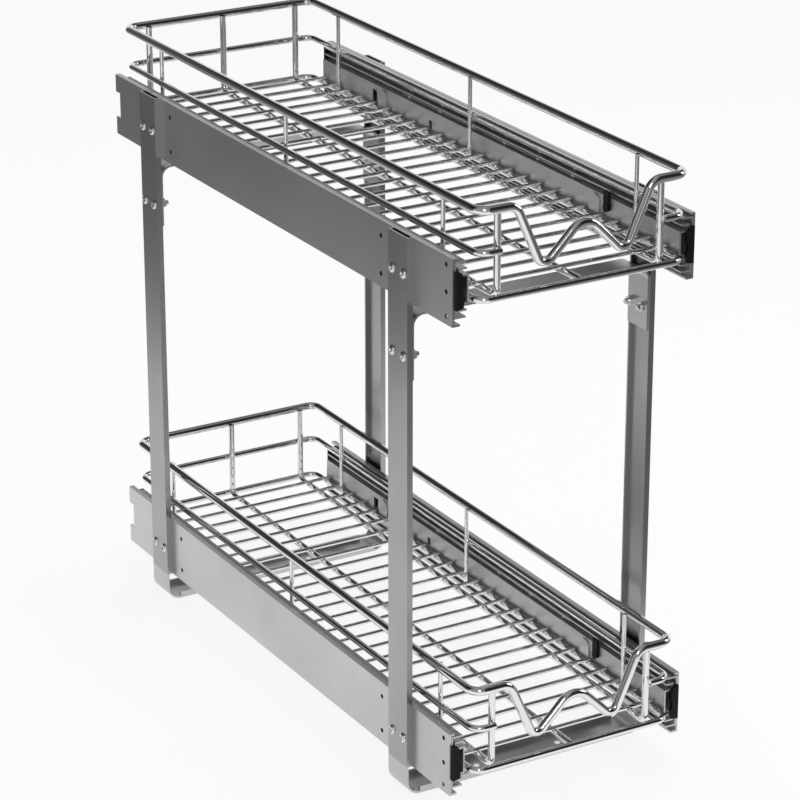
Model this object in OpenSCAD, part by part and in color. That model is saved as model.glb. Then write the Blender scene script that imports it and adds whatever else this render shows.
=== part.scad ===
// Two-tier pull-out wire organiser for a narrow base cabinet.
// Each tier is a welded wire basket that runs out of a steel frame on two
// ball-bearing slides. X is across, the front faces -Y, and Z = 0 is the
// cabinet floor. Millimetres.

/* [Frame] */
// Distance between the outer faces of the side plates
body_w = 194; // [184:1:320]
// Length of the side plates and of the slides
plate_len = 508; // [420:1:600]
// Height of a side plate
plate_h = 48; // [46:1:60]
// Sheet thickness of the plates, posts and straps
sheet_t = 1.5; // [1:0.1:2.5]
// Height of one tier above the other
tier_pitch = 350; // [300:1:450]
// Height of the lower side plates above the floor
foot_h = 23; // [18:0.5:40]

/* [Posts] */
// Width of a post along the depth of the frame
post_w = 26; // [22:0.5:34]
// Depth of a post's folded channel
post_depth = 4.5; // [3.5:0.1:8]
// Distance between the front and rear posts, centre to centre
post_pitch = 380; // [300:1:400]
// Outer radius of the bend where a post turns into its base strap
bend_r = 11; // [6:0.5:16]
// Width of the folded lip on a strap
strap_lip = 5; // [3:0.5:8]
// Length of the legs of an upper cross bracket
bracket_leg = 48; // [42:1:70]
// Gap between an upper cross bracket and the side plates above it
bracket_drop = 7; // [4:0.5:14]

/* [Slides] */
// Height of a slide's outer rail
slide_h = 40; // [38:0.5:44]
// Thickness of a complete slide
slide_t = 11; // [11:0.1:13]
// Thickness of the rails' steel
rail_t = 1.2; // [1:0.1:1.4]
// Diameter of the bearing balls
ball_d = 3.4; // [3.2:0.1:3.6]
// How far a basket pulls out
travel = 430; // [300:5:440]

/* [Basket] */
// Clear length inside a basket
inside_l = 520; // [440:1:600]
// Diameter of the top rim wire
rim_d = 6.5; // [5:0.1:7.5]
// Diameter of the ring and floor runner wires
ring_d = 5; // [4:0.1:5.4]
// Diameter of the cross wires and side uprights
thin_d = 3.2; // [2.6:0.1:3.6]
// Height of the rim's centre above the bottom of its side plates
rim_z = 80.75; // [76:0.25:100]
// Height of the middle ring's centre
mid_z = 51; // [51:0.25:62]
// Height of the floor ring's centre
floor_z = 18.4; // [17:0.1:19]
// Number of cross wires in the floor
cross_count = 25; // [12:1:30]
// Radius of the rings' corners
corner_r = 9; // [8:0.5:20]
// Depth of the two dips of the front handle, before their bends are rounded
handle_dip = 48; // [40:1:52]
// Depth of the handle's middle hump below the rim, before it is rounded
hump_dip = 15; // [8:1:24]
// Half width of the handle
handle_half = 54; // [46:1:60]

/* [Hardware] */
// Shank diameter of the frame screws
screw_d = 4; // [3:0.1:5]
// Head diameter of the frame screws
head_d = 7.2; // [6:0.1:8]
// Distance between the two screws of a pair
screw_pitch = 15; // [12:0.5:17]
// Diameter of the floor-screw holes in the base straps
floor_hole_d = 5; // [4:0.1:6]
// Distance between the floor-screw holes across the frame
floor_hole_pitch = 70; // [50:1:100]

/* [Hidden] */
// Clearance between pieces that run past each other
run_gap = 0.1;
// Depth by which welded wires sink into each other
weld = 0.3;
plate_x = body_w / 2;
plate_in = plate_x - sheet_t;
post_x = plate_x + post_depth;
slide_face = plate_in - slide_t;
frame_h = foot_h + tier_pitch + plate_h;
slide_z = 25.5;
// How far the rails stop short of the rear ends of the side plates
rear_gap = 7;
inside_w = 2 * (slide_face - 0.2 - ring_d);
mesh_z = floor_z + ring_d / 2 + thin_d / 2 - weld;
screw_z = 21.6;
bracket_top = foot_h + tier_pitch - bracket_drop;
bracket_screw_z = bracket_top - bracket_leg + 17;
steel = [0.62, 0.62, 0.63];
chrome = [0.83, 0.84, 0.86];
black = [0.06, 0.06, 0.07];
// One slide, measured inward from the plate's inner face
outer_web = rail_t;
ball_mid_u = 5.4;
mid_web_u = 2.9;
inner_start_u = 5.6;
outer_half = slide_h / 2;
mid_half = outer_half - rail_t - ball_d - 2 * run_gap;
inner_half = mid_half - rail_t - ball_d - 2 * run_gap;
cage_t = 0.7;
// A cage travels half as far as its rail, and stops short of the rails' ends
cage_len = plate_len - travel / 2 - 43;
TIERS = ["lower", "upper"];
SIDES = ["left", "right"];
wire_step = inside_l / (cross_count + 1);
// The side uprights stand midway between two cross wires
side_y = [for (f = [0.09, 0.5, 0.92])
    -inside_l / 2 + (floor(f * (cross_count + 1)) + 0.5) * wire_step];
// The clips stand midway between two cross wires too
clip_y = inside_l / 2 - 5.5 * wire_step;
runner_x = [-inside_w * 0.41, 0, inside_w * 0.41];

function tier_z(t) = foot_h + (t == "upper" ? tier_pitch : 0);
function unit(v) = v / norm(v);

// ---- helpers ----

// Puts a piece drawn for the right-hand side on the side named s
module on_side(s) {
    if (s == "left") mirror([1, 0, 0]) children();
    else children();
}

// Points of a fillet of radius r at b, between the straight runs a-b and b-c
function fillet(a, b, c, r, steps) =
    let (u = unit(a - b), v = unit(c - b), half = acos(max(-1, min(1, u * v))) / 2)
    let (cut = r / tan(half), mid = b + unit(u + v) * (r / sin(half)))
    let (p = b + u * cut - mid, q = b + v * cut - mid, turn = 180 - 2 * half)
    [for (i = [0:steps]) let (f = i / steps)
        mid + (p * sin((1 - f) * turn) + q * sin(f * turn)) / sin(turn)];

// A path through pts whose inner corners are rounded
function bent(pts, r, steps = 4) = [
    each [pts[0]],
    for (i = [1:len(pts) - 2]) each fillet(pts[i - 1], pts[i], pts[i + 1], r, steps),
    each [pts[len(pts) - 1]]
];

// A closed path through pts, all of whose corners are rounded
function bent_loop(pts, r, steps = 4) = let (n = len(pts)) [
    for (i = [0:n - 1]) each fillet(pts[(i + n - 1) % n], pts[i], pts[(i + 1) % n], r, steps)
];

// A wire of diameter d swept along a path that lies in one plane with the normal up
module wire(path, d, up, closed = false, sides = 8) {
    n = len(path);
    function at(i) = path[(i + n) % n];
    function into(i) = closed || i > 0 ? unit(at(i) - at(i - 1)) : unit(at(1) - at(0));
    function out(i) = closed || i < n - 1 ? unit(at(i + 1) - at(i)) : unit(at(n - 1) - at(n - 2));
    rings = [for (i = [0:n - 1])
        let (t = unit(into(i) + out(i)), side = unit(cross(up, t)), miter = 1 / (t * out(i)))
        for (k = [0:sides - 1]) let (a = 360 * (k + 0.5) / sides)
            at(i) + d / 2 * (cos(a) * miter * side + sin(a) * up)];
    last = closed ? n - 1 : n - 2;
    skin = [for (i = [0:last]) for (k = [0:sides - 1])
        let (j = (i + 1) % n, m = (k + 1) % sides)
        each [[i * sides + k, j * sides + k, j * sides + m],
              [i * sides + k, j * sides + m, i * sides + m]]];
    caps = closed ? [] : [[for (k = [0:sides - 1]) k],
        [for (k = [sides - 1:-1:0]) (n - 1) * sides + k]];
    polyhedron(rings, concat([for (f = skin) [f[0], f[2], f[1]]],
        [for (f = caps) [for (k = [len(f) - 1:-1:0]) f[k]]]));
}

// A hole or pin along X, from x0 to x1
module across(x0, x1, y, z, d) {
    translate([x0, y, z]) rotate([0, 90, 0]) cylinder(h = x1 - x0, d = d, $fn = 24);
}

// A channel that opens inward: its web starts u0 from the plate and it ends at u1
module rail(half, u0, u1, web) {
    rotate([90, 0, 0])
        translate([0, 0, rear_gap - plate_len / 2])
            linear_extrude(plate_len - rear_gap)
                polygon([
                    [plate_in - u0, -half], [plate_in - u0, half], [plate_in - u1, half],
                    [plate_in - u1, half - rail_t], [plate_in - u0 - web, half - rail_t],
                    [plate_in - u0 - web, rail_t - half], [plate_in - u1, rail_t - half],
                    [plate_in - u1, -half]
                ]);
}

// ---- frame ----

module side_plate(t, s) {
    top_lip = 4;
    bottom_lip = 6;
    notch_depth = rear_gap;
    notch_z = [0.29 * plate_h, 0.71 * plate_h];
    inside_post_y = post_pitch / 2 - post_w / 2 - 17;
    front_y = -plate_len / 2 + 8;
    color(steel) translate([0, 0, tier_z(t)]) on_side(s) difference() {
        union() {
            translate([plate_in, -plate_len / 2, 0]) cube([sheet_t, plate_len, plate_h]);
            translate([plate_x - top_lip, -plate_len / 2, plate_h - sheet_t])
                cube([top_lip, plate_len, sheet_t]);
            translate([plate_x - bottom_lip, -plate_len / 2, 0])
                cube([bottom_lip, plate_len, sheet_t]);
        }
        translate([plate_in - 1, plate_len / 2 - notch_depth, notch_z[0]])
            cube([sheet_t + 2, notch_depth + 1, notch_z[1] - notch_z[0]]);
        for (y = [-inside_post_y, inside_post_y], z = [0.2, 0.77])
            across(plate_in - 1, plate_x + 1, y, z * plate_h, 3.6);
        for (z = [0.12, 0.48, 0.88])
            across(plate_in - 1, plate_x + 1, front_y, z * plate_h, 3.6);
        for (end = [-1, 1], k = [-1, 1])
            across(plate_in - 1, plate_x + 1, end * post_pitch / 2 + k * screw_pitch / 2,
                screw_z, screw_d);
    }
}

module post(s, end) {
    color(steel) on_side(s) translate([0, end * post_pitch / 2, 0]) difference() {
        union() {
            translate([post_x - sheet_t, -post_w / 2, foot_h])
                cube([sheet_t, post_w, frame_h - foot_h]);
            for (k = [-1, 1])
                translate([plate_x, k * (post_w - sheet_t) / 2 - sheet_t / 2, foot_h])
                    cube([post_depth, sheet_t, frame_h - foot_h]);
        }
        for (k = [-1, 1], z = [foot_h + screw_z, foot_h + tier_pitch + screw_z, bracket_screw_z])
            across(post_x - sheet_t - 1, post_x + 1, k * screw_pitch / 2, z, screw_d);
    }
}

// Outline of a strip whose end turns through a quarter circle, from y = 0 up to y = h
function turned_end(x, h, r, steps) = [
    for (i = [0:steps]) let (a = -90 + 90 * i / steps)
        [x - r + r * cos(a), r + r * sin(a)],
    [x, h]
];

// A U of sheet as seen from the front: half width x, height h, outer bend radius r
module u_outline(x, h, r) {
    outer = turned_end(x, h, r, 8);
    inner = [for (p = turned_end(x - sheet_t, h - sheet_t, r - sheet_t, 8)) p + [0, sheet_t]];
    flip = function(pts) [for (i = [len(pts) - 1:-1:0]) [-pts[i][0], pts[i][1]]];
    back = function(pts) [for (i = [len(pts) - 1:-1:0]) pts[i]];
    polygon(concat(outer, back(inner), back(flip(inner)), flip(outer)));
}

module base_strap(end) {
    flat = post_x - bend_r;
    color(steel) translate([0, end * post_pitch / 2, 0]) difference() {
        union() {
            translate([0, post_w / 2, 0]) rotate([90, 0, 0])
                linear_extrude(post_w) u_outline(post_x, foot_h, bend_r);
            for (k = [-1, 1])
                translate([-flat, k * (post_w - sheet_t) / 2 - sheet_t / 2, 0])
                    cube([2 * flat, sheet_t, strap_lip]);
        }
        for (k = [-1, 1])
            translate([k * floor_hole_pitch / 2, 0, -1])
                cylinder(h = sheet_t + 2, d = floor_hole_d, $fn = 32);
    }
}

module cross_bracket(end) {
    width = post_w - 2;
    color(steel) translate([0, end * post_pitch / 2, bracket_top]) difference() {
        translate([0, width / 2, 0]) rotate([90, 0, 0]) mirror([0, 1, 0])
            linear_extrude(width) u_outline(plate_x, bracket_leg, bend_r - 2);
        for (side = [-1, 1], k = [-1, 1])
            across(side * plate_x - 3, side * plate_x + 3, k * screw_pitch / 2,
                bracket_screw_z - bracket_top, screw_d);
    }
}

// A screw along X: its head lies on the post and its tip ends at x_tip
module frame_screw(x_tip, y, z) {
    head_h = 1.6;
    across(x_tip, post_x, y, z, screw_d - 0.1);
    translate([post_x, y, z]) rotate([0, 90, 0])
        cylinder(h = head_h, d1 = head_d, d2 = head_d * 0.6, $fn = 24);
}

module frame_screws() {
    color(chrome) for (s = SIDES, end = [-1, 1], k = [-1, 1]) on_side(s) {
        y = end * post_pitch / 2 + k * screw_pitch / 2;
        for (t = TIERS) frame_screw(plate_in, y, tier_z(t) + screw_z);
        frame_screw(plate_in - 6, y, bracket_screw_z);
    }
}

module bracket_nuts() {
    nut_h = 0.75 * screw_d;
    nut_d = 1.9 * screw_d;
    color(chrome) for (s = SIDES, end = [-1, 1], k = [-1, 1]) on_side(s)
        translate([plate_in - nut_h, end * post_pitch / 2 + k * screw_pitch / 2, bracket_screw_z])
            rotate([0, 90, 0]) difference() {
                cylinder(h = nut_h, d = nut_d, $fn = 6);
                translate([0, 0, -1]) cylinder(h = nut_h + 2, d = screw_d, $fn = 24);
            }
}

// ---- slides ----

module outer_rail(t, s) {
    color(steel) translate([0, 0, tier_z(t) + slide_z]) on_side(s)
        rail(outer_half, 0, slide_t - 2, outer_web);
}

module middle_rail(t, s) {
    color(steel) translate([0, 0, tier_z(t) + slide_z]) on_side(s)
        rail(mid_half, mid_web_u, slide_t - 1.4, rail_t);
}

// The inner rail's web is the flat face that carries the basket, with two latch slots
module inner_rail(t, s) {
    slots = [[0.315 * plate_len, 7, 12], [0.15 * plate_len, 4, 6]];
    color(steel) translate([0, 0, tier_z(t) + slide_z]) on_side(s) difference() {
        rail(inner_half, slide_t, inner_start_u, -rail_t);
        for (c = slots)
            translate([slide_face - 1, c[0], -c[2] / 2]) cube([rail_t + 2, c[1], c[2]]);
    }
}

// A bearing ball with eight bands, so that its outline stays round enough at this size
module ball() {
    r = ball_d / 2 / cos(22.5);
    rotate_extrude($fn = 24)
        polygon(concat([[0, -ball_d / 2]],
            [for (a = [-67.5:45:67.5]) [r * cos(a), r * sin(a)]], [[0, ball_d / 2]]));
}

// Two rows of balls in a folded strip, between a rail of half height h and the next one in
module ball_cage(t, s, h, web_u, ball_u) {
    row_z = h - rail_t - run_gap - ball_d / 2;
    balls = 6;
    step = (cage_len - 20) / (balls - 1);
    color(steel) translate([0, 0, tier_z(t) + slide_z]) on_side(s) {
        translate([plate_in - web_u - cage_t, -cage_len / 2, -row_z])
            cube([cage_t, cage_len, 2 * row_z]);
        for (k = [-1, 1]) {
            translate([plate_in - ball_u - 1, -cage_len / 2, k * row_z - cage_t / 2])
                cube([ball_u + 1 - web_u, cage_len, cage_t]);
            for (i = [0:balls - 1])
                translate([plate_in - ball_u, -cage_len / 2 + 10 + i * step, k * row_z])
                    ball();
        }
    }
}

module outer_ball_cage(t, s) {
    ball_cage(t, s, outer_half, outer_web + 0.4, ball_mid_u);
}

module inner_ball_cage(t, s) {
    ball_cage(t, s, mid_half, mid_web_u + rail_t + 0.4, ball_mid_u + 2);
}

// Black plastic bumpers on the front ends of the inner rails, close beside the side plates
module front_end_caps(t) {
    half = 13.5;
    cap_t = 2.4;
    x0 = plate_in - inner_start_u - 1;
    x1 = plate_in - run_gap;
    color(black) for (s = SIDES) on_side(s)
        translate([0, -plate_len / 2, tier_z(t) + slide_z]) rotate([90, 0, 0])
            linear_extrude(cap_t)
                polygon([[x0 + 0.8, 1 - half], [x1, -half], [x1, half], [x0 + 2.5, half - 1],
                    [x0, half - 5], [x0, 3], [x0 + 1.2, 2], [x0 + 1.2, -4], [x0, -5]]);
}

// Black plastic stops at the rear ends of the outer rails, seen in the plates' notches
module rear_stops(t) {
    stop_h = 2 * outer_half;
    stop_t = 2.4;
    color(black) for (s = SIDES) on_side(s)
        translate([plate_in - slide_t + 2, plate_len / 2 - rear_gap,
            tier_z(t) + slide_z - stop_h / 2])
            difference() {
                cube([slide_t - 2, stop_t, stop_h]);
                for (z = [0.27, 0.45, 0.63])
                    translate([-1, stop_t / 2, z * stop_h]) cube([slide_t, stop_t, 0.1 * stop_h]);
            }
}

// ---- baskets ----

// Corners of a ring of wire d whose inside fits the basket
function ring_corners(d, z) = let (x = inside_w / 2 + d / 2, y = inside_l / 2 + d / 2)
    [[-x, -y, z], [x, -y, z], [x, y, z], [-x, y, z]];

// The top rim: a closed rounded rectangle whose front dips twice to form the handle
module basket_rim(t) {
    c = ring_corners(rim_d, tier_z(t) + rim_z);
    y = c[0][1];
    z = c[0][2];
    dip_x = handle_half * 0.61;
    front = [
        [-inside_w / 2 + corner_r, y, z], [-handle_half, y, z], [-dip_x, y, z - handle_dip],
        [0, y, z - hump_dip], [dip_x, y, z - handle_dip], [handle_half, y, z],
        [inside_w / 2 - corner_r, y, z]
    ];
    front_r = [10, 6.5, 14, 6.5, 10];
    inner_front = [for (i = [1:5])
        each fillet(front[i - 1], front[i], front[i + 1], front_r[i - 1], 5)];
    up = [0, 0, 1];
    color(chrome) union() {
        wire(inner_front, rim_d, [0, 1, 0]);
        wire(concat([inner_front[len(inner_front) - 1]],
            fillet(c[0], c[1], c[2], corner_r, 5), fillet(c[1], c[2], c[3], corner_r, 5),
            fillet(c[2], c[3], c[0], corner_r, 5), fillet(c[3], c[0], c[1], corner_r, 5),
            [inner_front[0]]), rim_d, up);
    }
}

// The middle ring stops at the two front uprights, which leaves the front open
module middle_ring(t) {
    c = ring_corners(ring_d, tier_z(t) + mid_z);
    stop = [for (x = [runner_x[2], runner_x[0]]) [x, c[0][1], c[0][2]]];
    color(chrome)
        wire(concat([stop[0]], fillet(c[0], c[1], c[2], corner_r, 5),
            fillet(c[1], c[2], c[3], corner_r, 5), fillet(c[2], c[3], c[0], corner_r, 5),
            fillet(c[3], c[0], c[1], corner_r, 5), [stop[1]]), ring_d, [0, 0, 1]);
}

module floor_ring(t) {
    color(chrome)
        wire(bent_loop(ring_corners(ring_d, tier_z(t) + floor_z), corner_r, 5),
            ring_d, [0, 0, 1], closed = true);
}

// Straight wires laid across the floor ring, evenly spaced
module cross_wires(t) {
    reach = inside_w / 2 + ring_d - 0.5;
    color(chrome) for (i = [1:cross_count])
        across(-reach, reach, -inside_l / 2 + i * wire_step, tier_z(t) + mesh_z, thin_d);
}

// Three heavy wires under the floor: all turn up at the rear, the outer two also at the front
module floor_runners(t) {
    y = inside_l / 2 - ring_d / 2 + weld;
    z = tier_z(t) + mesh_z - thin_d / 2 - ring_d / 2 + weld;
    top = tier_z(t) + rim_z;
    color(chrome) for (x = runner_x) {
        start = x == 0
            ? [[x, -inside_l / 2 - weld, z]]
            : [[x, -y, top], [x, -y, z]];
        wire(bent(concat(start, [[x, y, z], [x, y, top]]), 6), ring_d, [1, 0, 0]);
    }
}

// Three thin wires that tie the floor ring, middle ring and rim together on one side
module uprights(t, s) {
    x = inside_w / 2 - thin_d / 2 + weld;
    color(chrome) on_side(s) for (y = side_y)
        translate([x, y, tier_z(t) + floor_z - ring_d / 2])
            cylinder(h = rim_z - floor_z + ring_d / 2, d = thin_d, $fn = 24);
}

// Rounded sheet tabs that hook the floor ring to the inner rails
module basket_clips(t) {
    tab_w = 13;
    tab_h = 14;
    round_r = tab_w / 2;
    base = floor_z + ring_d / 2;
    outline = [[-round_r, 0], [round_r, 0],
        for (a = [0:20:180]) [round_r * cos(a), tab_h - round_r + round_r * sin(a)]];
    color(steel) for (s = SIDES, y = [-clip_y, clip_y]) on_side(s)
        translate([slide_face - 0.1, y, tier_z(t) + base - 0.2]) rotate([90, 0, -90])
            linear_extrude(1.2) polygon(outline);
}

// Black upright lever on the face of an inner rail, on a round boss that it turns about
module release_lever(t, s) {
    lever_y = -clip_y - 16;
    color(black) on_side(s) translate([slide_face - 0.2, lever_y, tier_z(t) + slide_z + 3])
        rotate([0, -90, 0]) {
            cylinder(h = 2.4, d = 6.6, $fn = 32);
            translate([0, -3.2, 0]) cube([12, 6.4, 2]);
        }
}

// ---- which pieces to draw ----

post("left", -1);  // left_front_post
post("right", -1);  // right_front_post
post("left", 1);  // left_rear_post
post("right", 1);  // right_rear_post
base_strap(-1);  // front_base_strap
base_strap(1);  // rear_base_strap
cross_bracket(-1);  // front_cross_bracket
cross_bracket(1);  // rear_cross_bracket
side_plate("upper", "left");  // upper_left_side_plate
side_plate("upper", "right");  // upper_right_side_plate
side_plate("lower", "left");  // lower_left_side_plate
side_plate("lower", "right");  // lower_right_side_plate
outer_rail("upper", "left");  // upper_left_outer_rail
outer_rail("upper", "right");  // upper_right_outer_rail
outer_rail("lower", "left");  // lower_left_outer_rail
outer_rail("lower", "right");  // lower_right_outer_rail
middle_rail("upper", "left");  // upper_left_middle_rail
middle_rail("upper", "right");  // upper_right_middle_rail
middle_rail("lower", "left");  // lower_left_middle_rail
middle_rail("lower", "right");  // lower_right_middle_rail
inner_rail("upper", "left");  // upper_left_inner_rail
inner_rail("upper", "right");  // upper_right_inner_rail
inner_rail("lower", "left");  // lower_left_inner_rail
inner_rail("lower", "right");  // lower_right_inner_rail
outer_ball_cage("upper", "left");  // upper_left_outer_ball_cage
outer_ball_cage("upper", "right");  // upper_right_outer_ball_cage
outer_ball_cage("lower", "left");  // lower_left_outer_ball_cage
outer_ball_cage("lower", "right");  // lower_right_outer_ball_cage
inner_ball_cage("upper", "left");  // upper_left_inner_ball_cage
inner_ball_cage("upper", "right");  // upper_right_inner_ball_cage
inner_ball_cage("lower", "left");  // lower_left_inner_ball_cage
inner_ball_cage("lower", "right");  // lower_right_inner_ball_cage
front_end_caps("upper");  // upper_front_end_caps
front_end_caps("lower");  // lower_front_end_caps
rear_stops("upper");  // upper_rear_stops
rear_stops("lower");  // lower_rear_stops
basket_rim("upper");  // upper_basket_rim
basket_rim("lower");  // lower_basket_rim
middle_ring("upper");  // upper_middle_ring
middle_ring("lower");  // lower_middle_ring
floor_ring("upper");  // upper_floor_ring
floor_ring("lower");  // lower_floor_ring
cross_wires("upper");  // upper_cross_wires
cross_wires("lower");  // lower_cross_wires
floor_runners("upper");  // upper_floor_runners
floor_runners("lower");  // lower_floor_runners
uprights("upper", "left");  // upper_left_uprights
uprights("upper", "right");  // upper_right_uprights
uprights("lower", "left");  // lower_left_uprights
uprights("lower", "right");  // lower_right_uprights
basket_clips("upper");  // upper_basket_clips
basket_clips("lower");  // lower_basket_clips
release_lever("upper", "left");  // upper_left_release_lever
release_lever("upper", "right");  // upper_right_release_lever
release_lever("lower", "left");  // lower_left_release_lever
release_lever("lower", "right");  // lower_right_release_lever
frame_screws();
bracket_nuts();
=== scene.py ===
# %% [markdown]
# # A two-tier pull-out wire basket, dressed for its picture
# The construction comes packed and fixed: steel frame, slides, wires and screws at
# their real sizes. This script gives each piece the finish of the real one. The
# bright wires are made again as smooth round bars by Geometry Nodes, because the
# packed bent ones have only eight sides. Lengths are in metres, the front faces -Y.

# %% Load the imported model
import math

import bmesh
import bpy
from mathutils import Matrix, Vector


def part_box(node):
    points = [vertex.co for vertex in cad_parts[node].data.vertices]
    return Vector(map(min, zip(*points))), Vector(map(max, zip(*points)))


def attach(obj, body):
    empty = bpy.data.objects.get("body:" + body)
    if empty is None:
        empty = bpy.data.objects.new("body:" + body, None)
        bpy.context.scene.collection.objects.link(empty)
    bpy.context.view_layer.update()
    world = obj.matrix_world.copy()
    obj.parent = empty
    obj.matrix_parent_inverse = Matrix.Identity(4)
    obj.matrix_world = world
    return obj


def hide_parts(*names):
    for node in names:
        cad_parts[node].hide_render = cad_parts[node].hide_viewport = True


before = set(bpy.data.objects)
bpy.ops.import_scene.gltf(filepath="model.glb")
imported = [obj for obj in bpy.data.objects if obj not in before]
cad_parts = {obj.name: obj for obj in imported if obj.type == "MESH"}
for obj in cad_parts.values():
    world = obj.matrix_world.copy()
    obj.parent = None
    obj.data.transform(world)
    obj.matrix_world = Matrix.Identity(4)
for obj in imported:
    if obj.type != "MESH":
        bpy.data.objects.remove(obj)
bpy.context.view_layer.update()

# %% [markdown]
# The camera stands in front, to the left and above, far off with a long lens, as a
# catalogue photographer would stand: the tiers then stay nearly parallel.

# %% Camera
CAMERA_PLACE = (-1.1453, -1.9763, 1.1253)
CAMERA_TURN = 30.346      # degrees from straight ahead towards the right
CAMERA_PITCH = -21.730    # degrees below level
FOCAL_PIXELS = 3255.0     # focal length in pixels of an 800 pixel frame
FRAME_PIXELS = 800.0
SENSOR_WIDTH = 36.0       # mm
VIEW_END = 50.0

scene = bpy.context.scene
scene.view_settings.view_transform = "Standard"


def add_object(name, data):
    """A new object in the scene, at the origin."""
    piece = bpy.data.objects.new(name, data)
    scene.collection.objects.link(piece)
    return piece


camera_data = bpy.data.cameras.new("camera")
camera_data.sensor_width = SENSOR_WIDTH
camera_data.lens = FOCAL_PIXELS / FRAME_PIXELS * SENSOR_WIDTH
camera_data.clip_end = VIEW_END
camera = add_object("camera", camera_data)
camera.location = CAMERA_PLACE
camera.rotation_euler = (math.radians(90.0 + CAMERA_PITCH), 0.0, math.radians(-CAMERA_TURN))
scene.camera = camera
print("lens", round(camera_data.lens, 1), "mm")

# %% [markdown]
# A few helpers build node materials. Each finish below is one Principled shader
# whose roughness and bump come from noise in Object coordinates, so the grain stays
# on the piece from every side and when the baskets slide. An image could give the
# grain too, but noise has no seams and needs no unwrapping.


# %% Material helpers
MIX_FIRST = 6             # a Mix node's colour sockets, which share their names
MIX_SECOND = 7
MIX_RESULT = 2
CLOUD_DARK = 0.3          # where a cloud pattern is fully dark and fully light
CLOUD_LIGHT = 0.7


def add_node(tree, kind, **inputs):
    """A node with its inputs set. An underscore in a name stands for a space."""
    node = tree.nodes.new(kind)
    for name, value in inputs.items():
        node.inputs[name.replace("_", " ")].default_value = value
    return node


def feed(tree, source, slot):
    """Links a socket to an input, or sets the input to a plain value."""
    if isinstance(source, bpy.types.NodeSocket):
        tree.links.new(source, slot)
    else:
        slot.default_value = source


def add_math(tree, operation, first, second=0.0):
    node = tree.nodes.new("ShaderNodeMath")
    node.operation = operation
    feed(tree, first, node.inputs[0])
    feed(tree, second, node.inputs[1])
    return node.outputs["Value"]


def add_mix(tree, factor, first, second):
    """A colour between first and second by factor."""
    mix = tree.nodes.new("ShaderNodeMix")
    mix.data_type = "RGBA"
    feed(tree, factor, mix.inputs["Factor"])
    feed(tree, first, mix.inputs[MIX_FIRST])
    feed(tree, second, mix.inputs[MIX_SECOND])
    return mix.outputs[MIX_RESULT]


def add_ramp(tree, factor, stops):
    """A colour by a 0..1 factor, from (place, colour) stops."""
    ramp = tree.nodes.new("ShaderNodeValToRGB")
    while len(ramp.color_ramp.elements) < len(stops):
        ramp.color_ramp.elements.new(0.5)
    for stop, (place, color) in zip(ramp.color_ramp.elements, stops):
        stop.position = place
        stop.color = (*color, 1.0)
    tree.links.new(factor, ramp.inputs["Fac"])
    return ramp.outputs["Color"]


def split_axes(tree, vector):
    """The X, Y and Z of a vector."""
    split = tree.nodes.new("ShaderNodeSeparateXYZ")
    tree.links.new(vector, split.inputs["Vector"])
    return split.outputs["X"], split.outputs["Y"], split.outputs["Z"]


def new_material(name, color, metallic, roughness):
    """A Principled material; returns the material, its tree and its shader."""
    material = bpy.data.materials.new(name)
    material.use_nodes = True
    tree = material.node_tree
    shader = tree.nodes["Principled BSDF"]
    shader.inputs["Base Color"].default_value = (*color, 1.0)
    shader.inputs["Metallic"].default_value = metallic
    shader.inputs["Roughness"].default_value = roughness
    return material, tree, shader


def object_noise(tree, scale, stretch=(1.0, 1.0, 1.0), detail=4.0):
    """Noise in Object coordinates, stretched per axis; returns its factor."""
    coordinates = tree.nodes.new("ShaderNodeTexCoord")
    mapping = add_node(tree, "ShaderNodeMapping", Scale=stretch)
    noise = add_node(tree, "ShaderNodeTexNoise", Scale=scale, Detail=detail)
    tree.links.new(coordinates.outputs["Object"], mapping.inputs["Vector"])
    tree.links.new(mapping.outputs["Vector"], noise.inputs["Vector"])
    return noise.outputs["Fac"]


def vary_roughness(tree, shader, factor, low, high):
    """Roughness between low and high by a 0..1 factor."""
    node = add_node(tree, "ShaderNodeMapRange", To_Min=low, To_Max=high)
    tree.links.new(factor, node.inputs["Value"])
    tree.links.new(node.outputs["Result"], shader.inputs["Roughness"])


def add_bump(tree, shader, height, strength, distance):
    bump = add_node(tree, "ShaderNodeBump", Strength=strength, Distance=distance)
    tree.links.new(height, bump.inputs["Height"])
    tree.links.new(bump.outputs["Normal"], shader.inputs["Normal"])


# %% [markdown]
# Chrome plate is almost a mirror, so its look is what it reflects. A trace of uneven
# roughness and a faint, slow ripple keep it from being a perfect mirror. The screws
# have the same build with a duller, rougher plate.


# %% Chrome wire
CHROME_CLOUD = 45.0
CHROME_RIPPLE = 30.0
RIPPLE_STRENGTH = 0.03
RIPPLE_HEIGHT = 0.0003


def make_chrome(name, color, rough_low, rough_high):
    material, tree, shader = new_material(name, color, 1.0, rough_low)
    vary_roughness(tree, shader, object_noise(tree, CHROME_CLOUD), rough_low, rough_high)
    ripple = object_noise(tree, CHROME_RIPPLE, detail=1.0)
    add_bump(tree, shader, ripple, RIPPLE_STRENGTH, RIPPLE_HEIGHT)
    return material


chrome = make_chrome("chrome_wire", (0.80, 0.81, 0.82), 0.04, 0.10)
screw_plate = make_chrome("screw_plate", (0.72, 0.72, 0.74), 0.16, 0.26)
print("chrome made")

# %% [markdown]
# The frame is a satin grey sheet with long, fine rolling marks. The marks run along
# the sheet, so the noise is stretched along Y on the side plates and rails, and along
# Z on the posts. A slow cloud varies the grey.


# %% Satin sheet
GRAIN_SCALE = 260.0
GRAIN_DETAIL = 5.0
GRAIN_STRENGTH = 0.10
GRAIN_HEIGHT = 0.0002
SHEET_CLOUD = 9.0
ALONG_Y = (1.0, 0.02, 1.0)
ALONG_Z = (1.0, 1.0, 0.02)


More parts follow.
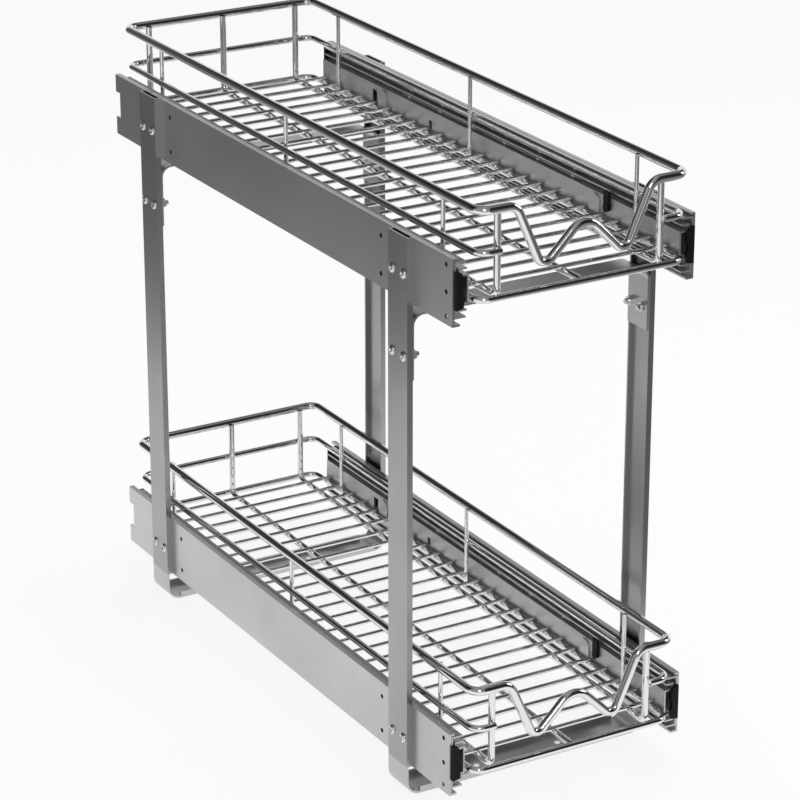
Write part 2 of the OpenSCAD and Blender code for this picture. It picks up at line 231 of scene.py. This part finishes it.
def make_sheet(name, dark, light, rough_low, rough_high, stretch):
    material, tree, shader = new_material(name, light, 1.0, rough_low)
    grain = object_noise(tree, GRAIN_SCALE, stretch, GRAIN_DETAIL)
    cloud = object_noise(tree, SHEET_CLOUD)
    color = add_ramp(tree, cloud, ((CLOUD_DARK, dark), (CLOUD_LIGHT, light)))
    tree.links.new(color, shader.inputs["Base Color"])
    vary_roughness(tree, shader, grain, rough_low, rough_high)
    add_bump(tree, shader, grain, GRAIN_STRENGTH, GRAIN_HEIGHT)
    return material


def make_rail(name):
    return make_sheet(name, (0.60, 0.60, 0.61), (0.66, 0.66, 0.67), 0.42, 0.54, ALONG_Y)


plate_sheet = make_sheet("plate_sheet", (0.50, 0.50, 0.51), (0.60, 0.60, 0.61), 0.26, 0.38, ALONG_Y)
post_sheet = make_sheet(
    "post_sheet", (0.345, 0.345, 0.355), (0.415, 0.415, 0.425), 0.24, 0.36, ALONG_Z)
rail_steel = make_rail("rail_steel")
outer_steel_painted_shade = make_rail("outer_steel_painted_shade")
print("sheet steel made")

# %% [markdown]
# The plates' small holes look black. Behind them lies the outer rail's back, which
# shows nowhere else. Painted shade darkens its steel there, by how far out a point
# lies, and stands in for the shade in the slit between rail and plate. Holes cut
# through the rail would do it too, but nothing says that it has any.


# %% Painted shade on the rails' backs
PAINTED_SHADE_INSET = 0.0002
# painted shade: a near-black colour for the shade behind the plate holes
PAINTED_SHADE_COLOR = (0.03, 0.03, 0.03, 1.0)


def paint_shade_beyond(material, reach):
    """Paints shade into a sheet's colour where a point lies further out than reach."""
    tree = material.node_tree
    color = tree.nodes["Principled BSDF"].inputs["Base Color"]
    x_axis = split_axes(tree, tree.nodes.new("ShaderNodeTexCoord").outputs["Object"])[0]
    shade_mask = add_math(tree, "GREATER_THAN", add_math(tree, "ABSOLUTE", x_axis), reach)
    tree.links.new(add_mix(tree, shade_mask, color.links[0].from_socket, PAINTED_SHADE_COLOR), color)


# paints shade on the outer rails' backs, beyond this distance from the middle
painted_shade_reach = -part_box("upper_left_outer_rail")[0][0] - PAINTED_SHADE_INSET
paint_shade_beyond(outer_steel_painted_shade, painted_shade_reach)
print("backs darkened beyond", round(painted_shade_reach, 4), "m")

# %% [markdown]
# End caps, stops and levers are moulded black plastic with the fine spark grain of
# the mould, seen as a soft uneven gloss.

# %% Black plastic
MOULD_GRAIN = 1400.0
MOULD_STRENGTH = 0.15
MOULD_HEIGHT = 0.0002
black, black_tree, black_shader = new_material("black_plastic", (0.006, 0.006, 0.007), 0.0, 0.5)
black_shader.inputs["Specular IOR Level"].default_value = 0.15
mould_grain = object_noise(black_tree, MOULD_GRAIN)
vary_roughness(black_tree, black_shader, mould_grain, 0.40, 0.55)
add_bump(black_tree, black_shader, mould_grain, MOULD_STRENGTH, MOULD_HEIGHT)
print("black plastic made")

# %% [markdown]
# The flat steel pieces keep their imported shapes, which are exact, and only change
# their material. The first row of the table with a word of the piece's name holds.

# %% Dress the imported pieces
FINISHES = (
    (("side_plate", "strap", "cross_bracket"), plate_sheet),
    (("post",), post_sheet),
    (("outer_rail",), outer_steel_painted_shade),
    (("rail", "cage", "clips"), rail_steel),
    (("end_caps", "stops", "lever"), black),
    (("nuts", "screws"), screw_plate),
    (("",), chrome),
)
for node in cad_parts:
    finish = next(row[1] for row in FINISHES if any(word in node for word in row[0]))
    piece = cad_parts[node]
    piece.data.materials.clear()
    piece.data.materials.append(finish)
print("dressed", len(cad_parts), "nodes")

# %% [markdown]
# A bent wire is a path and a round section. The path is worked out as a maker bends
# it, from straight runs and corners of one radius. Geometry Nodes then sweep the
# section along it, shade it smooth and set its material.


# %% Wire paths
BEND_STEPS = 8
RIM_STEPS = 10


def fillet(before, corner, after, radius, steps=BEND_STEPS):
    """Points of an arc that rounds a corner between two straight runs."""
    u = (before - corner).normalized()
    v = (after - corner).normalized()
    half = u.angle(v) / 2.0
    middle = corner + (u + v).normalized() * (radius / math.sin(half))
    start = corner + u * (radius / math.tan(half)) - middle
    end = corner + v * (radius / math.tan(half)) - middle
    turn = math.pi - 2.0 * half
    points = []
    for i in range(steps + 1):
        f = i / steps
        arc = (start * math.sin((1 - f) * turn) + end * math.sin(f * turn)) / math.sin(turn)
        points.append(middle + arc)
    return points


def bent(points, radius):
    """A path whose inner corners are rounded."""
    path = [points[0]]
    for i in range(1, len(points) - 1):
        path += fillet(points[i - 1], points[i], points[i + 1], radius)
    return path + [points[-1]]


# %% [markdown]
# Each tree is built once, with named inputs, and ends in Realize Instances and Set
# Material. The result is kept as a plain mesh, so nothing is left to be worked out
# later.


# %% Tree helpers
def new_tree(name, inputs, output):
    """A Geometry Nodes tree, its group inputs and their identifiers by name."""
    tree = bpy.data.node_groups.new(name, "GeometryNodeTree")
    identifiers = {}
    for label, kind in inputs.items():
        socket = tree.interface.new_socket(label, in_out="INPUT", socket_type="NodeSocket" + kind)
        identifiers[label] = socket.identifier
    tree.interface.new_socket(output, in_out="OUTPUT", socket_type="NodeSocketGeometry")
    return tree, tree.nodes.new("NodeGroupInput").outputs, identifiers


def end_tree(tree, geometry, finish, output):
    realize = tree.nodes.new("GeometryNodeRealizeInstances")
    paint = tree.nodes.new("GeometryNodeSetMaterial")
    group_out = tree.nodes.new("NodeGroupOutput")
    tree.links.new(geometry, realize.inputs["Geometry"])
    tree.links.new(realize.outputs["Geometry"], paint.inputs["Geometry"])
    tree.links.new(finish, paint.inputs["Material"])
    tree.links.new(paint.outputs["Geometry"], group_out.inputs[output])
    print("tree", tree.name, "with", len(tree.nodes), "nodes")


def put_tree(source, tree, identifiers, **values):
    """Puts a tree on an object and sets its inputs by their identifiers."""
    modifier = source.modifiers.new(tree.name, "NODES")
    modifier.node_group = tree
    for label, value in values.items():
        modifier[identifiers[label]] = value


def freeze(source, name):
    """Turns an object's evaluated shape into a plain mesh object at the origin."""
    graph = bpy.context.evaluated_depsgraph_get()
    mesh = bpy.data.meshes.new_from_object(source.evaluated_get(graph))
    mesh.name = name
    bpy.data.objects.remove(source)
    return add_object(name, mesh)


# %% [markdown]
# The bent-wire tree sweeps a circle along a path. Its inputs are the wire's radius,
# the number of sides and the material. A bevelled curve would look alike, but the
# tree makes every wire by one rule. Set Shade Smooth makes the sweep look round.


# %% The bent-wire tree
WIRE_SIDES = 16
RIM_SIDES = 20


def make_wire_tree():
    inputs = {"Path": "Geometry", "Radius": "Float", "Sides": "Int", "Finish": "Material"}
    tree, given, identifiers = new_tree("bent_wire", inputs, "Wire")
    section = tree.nodes.new("GeometryNodeCurvePrimitiveCircle")
    sweep = tree.nodes.new("GeometryNodeCurveToMesh")
    smooth = tree.nodes.new("GeometryNodeSetShadeSmooth")
    sweep.inputs["Fill Caps"].default_value = True
    tree.links.new(given["Radius"], section.inputs["Radius"])
    tree.links.new(given["Sides"], section.inputs["Resolution"])
    tree.links.new(given["Path"], sweep.inputs["Curve"])
    tree.links.new(section.outputs["Curve"], sweep.inputs["Profile Curve"])
    tree.links.new(sweep.outputs["Mesh"], smooth.inputs["Geometry"])
    end_tree(tree, smooth.outputs["Geometry"], given["Finish"], "Wire")
    return tree, identifiers


wire_tree, WIRE_IDS = make_wire_tree()


def make_wires(name, paths, diameter, sides=WIRE_SIDES):
    """Sweeps one wire along each (points, closed) path and returns one mesh object."""
    curve = bpy.data.curves.new(name + "_path", "CURVE")
    curve.dimensions = "3D"
    for points, closed in paths:
        spline = curve.splines.new("POLY")
        spline.points.add(len(points) - 1)
        for slot, point in zip(spline.points, points):
            slot.co = (*point, 1.0)
        spline.use_cyclic_u = closed
    source = add_object(name + "_path", curve)
    put_tree(source, wire_tree, WIRE_IDS, Radius=diameter / 2.0, Sides=sides, Finish=chrome)
    piece = freeze(source, name)
    print(name, len(piece.data.vertices), "points")
    return piece


# %% [markdown]
# The baskets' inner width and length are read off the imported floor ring. Wire sizes,
# bends and rises are those of the construction, named here. So the round wires lie on
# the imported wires' paths, and stand at most a quarter millimetre further out.

# %% Sizes of the baskets
RIM_D = 0.0065
RING_D = 0.005
THIN_D = 0.0032
CORNER_R = 0.009
RUNNER_BEND = 0.006
HANDLE_HALF = 0.054
HANDLE_DIP = 0.048
DIP_SHARE = 0.61          # where the dips are, as a share of the handle's half width
HUMP_DIP = 0.015
SHOULDER_BEND = 0.010
DIP_BEND = 0.0065
HUMP_BEND = 0.014
RIM_RISE = 0.08075
MIDDLE_RISE = 0.051
FLOOR_RISE = 0.0184
WELD = 0.0003             # how deep welded wires lie in each other
CROSS_COUNT = 25
UPRIGHT_SHARES = (0.09, 0.5, 0.92)
TIER_BASE = {"lower": 0.023, "upper": 0.373}
EIGHT_SIDED = 0.962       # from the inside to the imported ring's flat side, in diameters
RUNNER_SHARE = 0.82       # where the outer runners lie, as a share of the half width
inside_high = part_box("upper_floor_ring")[1]
HALF_W = inside_high[0] - RING_D * EIGHT_SIDED
HALF_L = inside_high[1] - RING_D * EIGHT_SIDED
RUNNER_X = (-HALF_W * RUNNER_SHARE, 0.0, HALF_W * RUNNER_SHARE)
FROM_RIGHT = (1, 2, 3, 0) # a ring's corners from the front right to the front left
ALL_ROUND = (0, 1, 2, 3)
print("inside", round(HALF_W * 2, 4), "x", round(HALF_L * 2, 4))


def ring_corners(diameter, z):
    x = HALF_W + diameter / 2.0
    y = HALF_L + diameter / 2.0
    return [Vector((-x, -y, z)), Vector((x, -y, z)), Vector((x, y, z)), Vector((-x, y, z))]


def round_ring(corners, order, steps=BEND_STEPS):
    """Rounded corners of a ring, in the given order."""
    path = []
    for i in order:
        path += fillet(corners[i - 1], corners[i], corners[(i + 1) % 4], CORNER_R, steps)
    return path


# %% [markdown]
# The rim is the thick wire around the top. At the front it dips twice, which makes
# the handle: two finger troughs with a hump between them. It is one path, as the real
# one is one bent wire, where a separate handle would show a joint.


# %% The rim with its handle
def rim_path(z):
    corners = ring_corners(RIM_D, z)
    y = corners[0].y
    dip = HANDLE_HALF * DIP_SHARE
    low = z - HANDLE_DIP
    front = [Vector(p) for p in (
        (-HALF_W, y, z), (-HANDLE_HALF, y, z), (-dip, y, low),
        (0.0, y, z - HUMP_DIP), (dip, y, low), (HANDLE_HALF, y, z), (HALF_W, y, z))]
    bends = (SHOULDER_BEND, DIP_BEND, HUMP_BEND, DIP_BEND, SHOULDER_BEND)
    path = []
    for i, bend in enumerate(bends):
        path += fillet(front[i], front[i + 1], front[i + 2], bend, RIM_STEPS)
    return path + round_ring(corners, FROM_RIGHT, RIM_STEPS)


def middle_path(z):
    """The middle ring, which ends at the outer runners and is open at the front."""
    corners = ring_corners(RING_D, z)
    start = Vector((RUNNER_X[2], corners[0].y, z))
    end = Vector((RUNNER_X[0], corners[0].y, z))
    return [start] + round_ring(corners, FROM_RIGHT) + [end]


def finish_wires(piece, body, *nodes):
    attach(piece, body)
    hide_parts(*nodes)


for tier, base in TIER_BASE.items():
    body = tier + "_basket"
    rim = make_wires(tier + "_rim_wire", [(rim_path(base + RIM_RISE), True)], RIM_D, RIM_SIDES)
    finish_wires(rim, body, tier + "_basket_rim")
    middle = make_wires(tier + "_middle_wire", [(middle_path(base + MIDDLE_RISE), False)], RING_D)
    finish_wires(middle, body, tier + "_middle_ring")
    loop = round_ring(ring_corners(RING_D, base + FLOOR_RISE), ALL_ROUND)
    floor_loop = make_wires(tier + "_floor_loop", [(loop, True)], RING_D)
    finish_wires(floor_loop, body, tier + "_floor_ring")

# %% [markdown]
# Three heavy wires run along under the floor and turn up at the ends, where they
# are welded inside the rings. Six thin wires tie the rings together at the sides. The
# runners bend like the rim does; the uprights are straight, so two points do.


# %% Runners and uprights
def runner_paths(base):
    """Two runners turned up at both ends, and one in the middle at the rear only."""
    y = HALF_L - RING_D / 2.0 + WELD
    z = base + FLOOR_RISE
    top = base + RIM_RISE
    paths = []
    for x in RUNNER_X:
        start = [Vector((x, -y, top)), Vector((x, -y, z))]
        if x == 0.0:
            start = [Vector((x, -HALF_L - WELD, z))]
        paths.append((bent(start + [Vector((x, y, z)), Vector((x, y, top))], RUNNER_BEND), False))
    return paths


def upright_paths(node):
    """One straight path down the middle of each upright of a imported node."""
    low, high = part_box(node)
    x = (low[0] + high[0]) / 2.0
    gaps = CROSS_COUNT + 1
    step = HALF_L * 2.0 / gaps
    places = [-HALF_L + (math.floor(share * gaps) + 0.5) * step for share in UPRIGHT_SHARES]
    return [([Vector((x, y, low[2])), Vector((x, y, high[2]))], False) for y in places]


for tier, base in TIER_BASE.items():
    runners = make_wires(tier + "_runner_wires", runner_paths(base), RING_D)
    finish_wires(runners, tier + "_basket", tier + "_floor_runners")
    for side in ("left", "right"):
        node = tier + "_" + side + "_uprights"
        ties = make_wires(node + "_wire", upright_paths(node), THIN_D)
        finish_wires(ties, tier + "_basket", node)

# %% [markdown]
# The floor is a comb of equal wires, which is a pattern: Geometry Nodes put one
# short bar at each point of a line. A loop could copy the bar 25 times, but then
# nothing would say that the spacing is even. A bar's ends are rounded, as a sheared
# and tumbled wire's are.


# %% The comb tree
BAR_TURNS = 14
BAR_END = ((0.0, 0.0), (0.15, 0.6), (0.5, 0.92), (1.0, 1.0))   # along and out, in radii


def make_comb_tree():
    inputs = {"Bar": "Geometry", "Count": "Int", "First": "Vector", "Step": "Vector", "Finish": "Material"}
    tree, given, identifiers = new_tree("comb_of_bars", inputs, "Comb")
    line = tree.nodes.new("GeometryNodeMeshLine")
    line.mode = "OFFSET"
    put = tree.nodes.new("GeometryNodeInstanceOnPoints")
    tree.links.new(given["Count"], line.inputs["Count"])
    tree.links.new(given["First"], line.inputs["Start Location"])
    tree.links.new(given["Step"], line.inputs["Offset"])
    tree.links.new(line.outputs["Mesh"], put.inputs["Points"])
    tree.links.new(given["Bar"], put.inputs["Instance"])
    end_tree(tree, put.outputs["Instances"], given["Finish"], "Comb")
    return tree, identifiers


comb_tree, COMB_IDS = make_comb_tree()


def solid_object(name, solid):
    """An object from a finished bmesh, which is freed."""
    mesh = bpy.data.meshes.new(name)
    solid.to_mesh(mesh)
    solid.free()
    return add_object(name, mesh)


def lathe(profile, turns):
    """A closed solid turned about X from (along, radius) points."""
    mesh = bmesh.new()
    rings = []
    for along, radius in profile:
        if radius == 0.0:
            rings.append([mesh.verts.new((along, 0.0, 0.0))])
            continue
        ring = []
        for k in range(turns):
            a = 2.0 * math.pi * k / turns
            ring.append(mesh.verts.new((along, radius * math.cos(a), radius * math.sin(a))))
        rings.append(ring)
    for one, two in zip(rings, rings[1:]):
        for k in range(turns):
            m = (k + 1) % turns
            corners = [one[k % len(one)], two[k % len(two)], two[m % len(two)], one[m % len(one)]]
            mesh.faces.new(list(dict.fromkeys(corners)))
    bmesh.ops.recalc_face_normals(mesh, faces=mesh.faces)
    for face in mesh.faces:
        face.smooth = True
    return mesh


for tier in TIER_BASE:
    low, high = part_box(tier + "_cross_wires")
    r = THIN_D / 2.0
    near_end = [(low[0] + r * along, r * wide) for along, wide in BAR_END]
    far_end = [(high[0] - r * along, r * wide) for along, wide in reversed(BAR_END)]
    bar = solid_object(tier + "_bar", lathe(near_end + far_end, BAR_TURNS))
    spacing = (high[1] - low[1] - THIN_D) / (CROSS_COUNT - 1)
    put_tree(bar, comb_tree, COMB_IDS, Count=CROSS_COUNT, First=(0.0, low[1] + r, low[2] + r),
             Step=(0.0, spacing, 0.0), Finish=chrome)
    wires = freeze(bar, tier + "_cross_bars")
    finish_wires(wires, tier + "_basket", tier + "_cross_wires")
    print(tier, "cross wires", CROSS_COUNT, "spacing", round(spacing * 1000, 1), "mm")

# %% [markdown]
# The frame's screws are pan heads with a cross recess, all alike, so one is turned
# and cut, and Geometry Nodes put it at each place. They could be modelled one by
# one, but a pattern keeps them equal and says where they stand.


# %% The screw tree
def make_screw_tree():
    inputs = {"Screw": "Geometry", "Places": "Object", "Finish": "Material"}
    tree, given, identifiers = new_tree("screws_at_places", inputs, "Screws")
    spots = tree.nodes.new("GeometryNodeObjectInfo")
    put = tree.nodes.new("GeometryNodeInstanceOnPoints")
    tree.links.new(given["Places"], spots.inputs["Object"])
    tree.links.new(spots.outputs["Geometry"], put.inputs["Points"])
    tree.links.new(given["Screw"], put.inputs["Instance"])
    end_tree(tree, put.outputs["Instances"], given["Finish"], "Screws")
    return tree, identifiers


screw_tree, SCREW_IDS = make_screw_tree()

# %% [markdown]
# A screw is turned about X with its head's seat at 0. The recess is a cross of two
# bars, cut out of the head. Screws on the left side are the same, mirrored.

# %% Screws
POST_FACE = 0.1015        # outer face of a post
PLATE_SIDE = 0.0955       # inner face of a side plate
BRACKET_REACH = 0.006     # how much deeper the bracket screws go
SHANK_R = 0.00195
HEAD_R = 0.0036
HEAD_H = 0.0016
POST_PLACE = 0.19         # front and rear posts, from the middle
SCREW_HALF = 0.0075       # half the distance between the two screws of a pair
PLATE_SCREW_RISES = (0.0446, 0.3946)
BRACKET_SCREW_RISE = 0.335
RECESS_LENGTH = 0.0046
RECESS_WIDTH = 0.0012
RECESS_DEPTH = 0.0013
HEAD_PROFILE = ((0.0, 1.0), (0.3, 1.0), (0.62, 0.9), (0.86, 0.68), (0.97, 0.4), (1.0, 0.0))
TIP_SHARE = 0.8           # radius of the shank's blunt tip, as a share
TIP_LENGTH = 0.0004
SCREW_TURNS = 28
SHARP_FROM = 35.0         # degrees


def screw_body(name, depth, way):
    """One screw pointing inward from x = 0, for the side that way (1 or -1) names."""
    profile = [(-depth, 0.0), (-depth, SHANK_R * TIP_SHARE)]
    profile += [(-depth + TIP_LENGTH, SHANK_R), (0.0, SHANK_R)]
    profile += [(along * HEAD_H, wide * HEAD_R) for along, wide in HEAD_PROFILE]
    return solid_object(name, lathe([(way * along, radius) for along, radius in profile], SCREW_TURNS))


def recess_cross(way):
    """Two crossed bars that reach into the head from outside."""
    solid = bmesh.new()
    for wide, tall in ((RECESS_LENGTH, RECESS_WIDTH), (RECESS_WIDTH, RECESS_LENGTH)):
        made = bmesh.ops.create_cube(solid, size=1.0)["verts"]
        bmesh.ops.scale(solid, vec=(2.0 * RECESS_DEPTH, wide, tall), verts=made)
        bmesh.ops.translate(solid, vec=(way * HEAD_H, 0.0, 0.0), verts=made)
    return solid_object("recess", solid)


def put_screws(name, depth, way, rises):
    """All screws of one side and one length, as one mesh."""
    source = screw_body(name, depth, way)
    cross = recess_cross(way)
    cut = source.modifiers.new("recess", "BOOLEAN")
    cut.operation = "DIFFERENCE"
    cut.solver = "EXACT"
    cut.use_self = True
    cut.object = cross
    points = [(way * POST_FACE, post + pair, rise) for post in (-POST_PLACE, POST_PLACE)
              for pair in (-SCREW_HALF, SCREW_HALF) for rise in rises]
    spots = bpy.data.meshes.new(name + "_places")
    spots.from_pydata(points, [], [])
    places = add_object(name + "_places", spots)
    put_tree(source, screw_tree, SCREW_IDS, Places=places, Finish=screw_plate)
    piece = freeze(source, name)
    piece.data.set_sharp_from_angle(angle=math.radians(SHARP_FROM))
    bpy.data.objects.remove(cross)
    bpy.data.objects.remove(places)
    return piece


screws = []
for side, way in (("left", -1.0), ("right", 1.0)):
    depth = POST_FACE - PLATE_SIDE
    screws.append(put_screws(side + "_plate_screws", depth, way, PLATE_SCREW_RISES))
    depth += BRACKET_REACH
    screws.append(put_screws(side + "_bracket_screws", depth, way, (BRACKET_SCREW_RISE,)))
for piece in screws:
    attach(piece, "frame")
    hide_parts("frame_screws")
print("screw meshes", [len(piece.data.vertices) for piece in screws])

# %% [markdown]
# The light is a plain soft studio: a large lamp above, one from the front left and
# one from the right. They light the floor and the plastic. The front and right lamps
# stand in the chrome as small bright windows. The top one doesn't, as flat steel seen
# from above would mirror it and clip to white.


# %% Lamps
LAMP_TARGET = Vector((0.0, 0.0, 0.2))


def add_lamp(name, place, size, power):
    data = bpy.data.lights.new(name, "AREA")
    data.shape = "RECTANGLE"
    data.size, data.size_y = size
    data.energy = power
    lamp = add_object(name, data)
    lamp.location = place
    aim = LAMP_TARGET - Vector(place)
    lamp.rotation_euler = aim.to_track_quat("-Z", "Y").to_euler()
    print(name, power, "W")
    return lamp


top_lamp = add_lamp("top_lamp", (0.3, 0.2, 2.4), (1.0, 1.0), 22.0)
add_lamp("front_lamp", (-1.2, -2.4, 1.7), (0.5, 0.9), 14.0)
add_lamp("right_lamp", (2.0, -0.8, 1.2), (0.5, 1.0), 9.0)
top_lamp.visible_glossy = False

# %% [markdown]
# Chrome looks like the room round it, so the room is the main thing here. Black
# cloth hangs at the left rear, at the right front and above the rear half of a
# white set, and grey cloth above its front half. The cloths draw the dark and grey
# lines along the wires and deepen the upper plates, while the white sheet near the
# object keeps the lower plates light. On the floor the right-hand cloth lies nearer,
# for the dark half of the handles' legs. The camera itself sees plain white.


# %% Room helpers
BACKDROP_RAYS = ("Is Camera Ray", "Is Glossy Ray", "Is Transmission Ray")
WHITE = (1.0, 1.0, 1.0, 1.0)
SIDE_BLEND = 0.01         # how softly the right-hand side begins


def fall_off(tree, value, begin, end, low, high):
    """A smooth change from low to high while value goes from begin to end."""
    change = add_node(tree, "ShaderNodeMapRange", From_Min=begin, From_Max=end, To_Min=low, To_Max=high)
    change.interpolation_type = "SMOOTHSTEP"
    tree.links.new(value, change.inputs["Value"])
    return change.outputs["Result"]


def away_from_cloth(tree, vector, far, near, low, right_reach=1.0):
    """Brightness that falls towards the cloths, which hang where x times y is negative."""
    x_axis, y_axis, _ = split_axes(tree, vector)
    reach = add_node(tree, "ShaderNodeMapRange", From_Min=-SIDE_BLEND, From_Max=SIDE_BLEND,
                     To_Min=1.0, To_Max=right_reach)
    tree.links.new(x_axis, reach.inputs["Value"])
    product = add_math(tree, "MULTIPLY", x_axis, y_axis)
    wider = add_math(tree, "MULTIPLY", product, reach.outputs["Result"])
    return fall_off(tree, wider, far, near, low, 1.0)


def seen_by(tree, *rays):
    """1 where a ray of one of the named kinds arrives."""
    path = tree.nodes.new("ShaderNodeLightPath")
    total = path.outputs[rays[0]]
    for ray in rays[1:]:
        total = add_math(tree, "MAXIMUM", total, path.outputs[ray])
    return total


def white_for_camera(tree, level):
    """The set's colour: plain white to the camera, level to anything else."""
    return add_mix(tree, seen_by(tree, "Is Camera Ray"), level, WHITE)


def mix_shaders(tree, factor, first, second, output_kind):
    """Mixes two shaders and ends the tree with them."""
    mix = tree.nodes.new("ShaderNodeMixShader")
    output = tree.nodes.new(output_kind)
    tree.links.new(factor, mix.inputs["Fac"])
    tree.links.new(first, mix.inputs[1])
    tree.links.new(second, mix.inputs[2])
    tree.links.new(mix.outputs["Shader"], output.inputs["Surface"])


# %% [markdown]
# In the world, brightness depends on how high a mirrored direction points. To the
# rear it is bright up to about 25 degrees, then black, then grey overhead. To the
# front it is dark just above the horizon and grey from there up, which is what gives
# thin wires their mid grey. A picture of a studio could do this too, but bands can be
# moved one at a time until the lines on the wires are right.

# %% World
REAR_BANDS = ((0.0, 0.8), (0.52, 0.9), (0.70, 0.85), (0.74, 0.05), (0.90, 0.12), (1.0, 0.32))
FRONT_BANDS = ((0.0, 0.8), (0.50, 0.85), (0.54, 0.10), (0.66, 0.32), (0.85, 0.28), (1.0, 0.32))
ROOM_CLOTH = (-0.22, 0.04, 0.08)      # where the side cloths are full, begin, their level
REAR_BLEND = (-0.1, 0.15)             # where the front bands end and the rear ones begin
FILL_STRENGTH = 0.55                  # plain light on matt surfaces
world = bpy.data.worlds.new("studio")
scene.world = world
world.use_nodes = True
room = world.node_tree
room.nodes.clear()
direction = room.nodes.new("ShaderNodeTexCoord").outputs["Generated"]
_, depth_axis, up_axis = split_axes(room, direction)


def add_bands(height, bands):
    return add_ramp(room, height, [(place, (level, level, level)) for place, level in bands])


height = add_node(room, "ShaderNodeMapRange", From_Min=-1.0)
room.links.new(up_axis, height.inputs["Value"])
height = height.outputs["Result"]
to_rear = add_node(room, "ShaderNodeMapRange", From_Min=REAR_BLEND[0], From_Max=REAR_BLEND[1])
room.links.new(depth_axis, to_rear.inputs["Value"])
bands = add_mix(
    room, to_rear.outputs["Result"], add_bands(height, FRONT_BANDS), add_bands(height, REAR_BANDS))
level = add_math(room, "MULTIPLY", bands, away_from_cloth(room, direction, *ROOM_CLOTH))
backdrop = add_node(room, "ShaderNodeBackground", Strength=1.0)
room.links.new(white_for_camera(room, level), backdrop.inputs["Color"])
fill = add_node(room, "ShaderNodeBackground", Color=WHITE, Strength=FILL_STRENGTH)
mix_shaders(room, seen_by(room, *BACKDROP_RAYS), fill.outputs["Background"],
            backdrop.outputs["Background"], "ShaderNodeOutputWorld")
print("world made")

# %% [markdown]
# The floor is a large white sheet with a grey strip far in front, which draws a
# darker line down the wires that face the camera. Most of what the camera gets from
# it is plain white, and a part stays a lit surface, so the object keeps a shadow.

# %% Floor
FLOOR_HALF = 6.0
FLOOR_DROP = -0.0005
PLAIN_SHARE = 0.85
PAPER_COLOR = (0.85, 0.85, 0.85, 1.0)
FLOOR_CLOTH = (-0.36, -0.20, 0.13)
RIGHT_REACH = 3.5         # how much nearer the right-hand cloth lies
STRIP = (-0.95, -1.5)     # where the strip begins and is deepest
STRIP_LEVEL = 0.3
corners = [(x * FLOOR_HALF, y * FLOOR_HALF, FLOOR_DROP) for x, y in ((-1, -1), (1, -1), (1, 1), (-1, 1))]
floor_mesh = bpy.data.meshes.new("studio_floor")
floor_mesh.from_pydata(corners, [], [(0, 1, 2, 3)])
floor = add_object("studio_floor", floor_mesh)
floor_material = bpy.data.materials.new("studio_floor")
floor_material.use_nodes = True
sheet = floor_material.node_tree
sheet.nodes.clear()
place = sheet.nodes.new("ShaderNodeTexCoord").outputs["Object"]
near_cloth = away_from_cloth(sheet, place, *FLOOR_CLOTH, RIGHT_REACH)
strip = fall_off(sheet, split_axes(sheet, place)[1], *STRIP, 1.0, STRIP_LEVEL)
paper_level = add_math(sheet, "MULTIPLY", near_cloth, strip)
paper = add_node(sheet, "ShaderNodeBsdfDiffuse", Color=PAPER_COLOR)
glow = add_node(sheet, "ShaderNodeEmission", Strength=1.0)
sheet.links.new(white_for_camera(sheet, paper_level), glow.inputs["Color"])
share = add_math(sheet, "MULTIPLY", seen_by(sheet, *BACKDROP_RAYS), PLAIN_SHARE)
mix_shaders(
    sheet, share, paper.outputs["BSDF"], glow.outputs["Emission"], "ShaderNodeOutputMaterial")
floor_mesh.materials.append(floor_material)
print("floor made")
